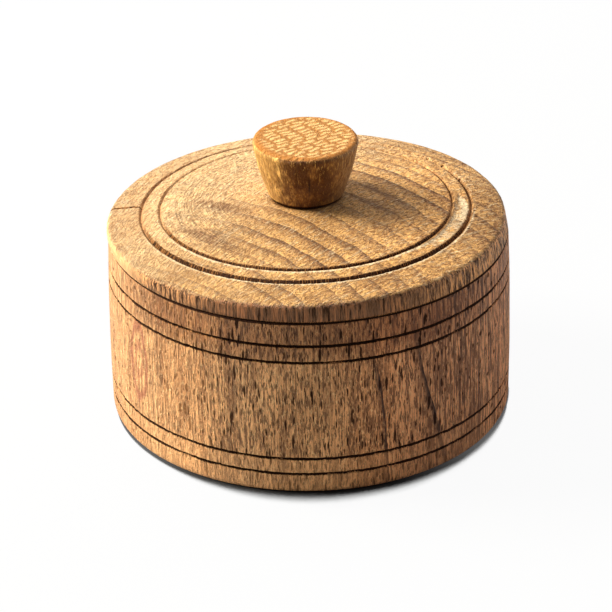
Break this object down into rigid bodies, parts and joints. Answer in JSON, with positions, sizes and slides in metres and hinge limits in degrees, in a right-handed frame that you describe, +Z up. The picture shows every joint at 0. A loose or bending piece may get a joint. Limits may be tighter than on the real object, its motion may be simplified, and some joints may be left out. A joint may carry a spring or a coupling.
{
  "type": "lidded bowl",
  "caption": "Small round turned wooden bowl with straight sides and a domed lift-off lid that has a tapered knob.",
  "frame": {"origin": "centre of the underside of the bowl, on the surface that it stands on", "axes": "+Z up along the axis that every piece is turned about; the piece is round, so X and Y are free, and -Y faces the viewer of the picture"},
  "size_m": [0.0906, 0.0906, 0.0633],
  "materials": {
    "bowl_beech": "clear satin finish on turned beech, grain upright",
    "lid_beech": "clear satin finish on turned beech, grain upright, so the top shows end grain",
    "knob_beech": "clear satin finish on turned beech, grain upright, so the top shows end grain"
  },
  "bodies": {
    "bowl": {"bowl": "bowl_beech"},
    "lid": {"lid": "lid_beech", "knob": "knob_beech"}
  },
  "joints": [
    {"name": "lid_lift", "type": "slide", "parent": "bowl", "child": "lid", "axis": [0, 0, 1], "range_m": [0, 0.06]}
  ]
}
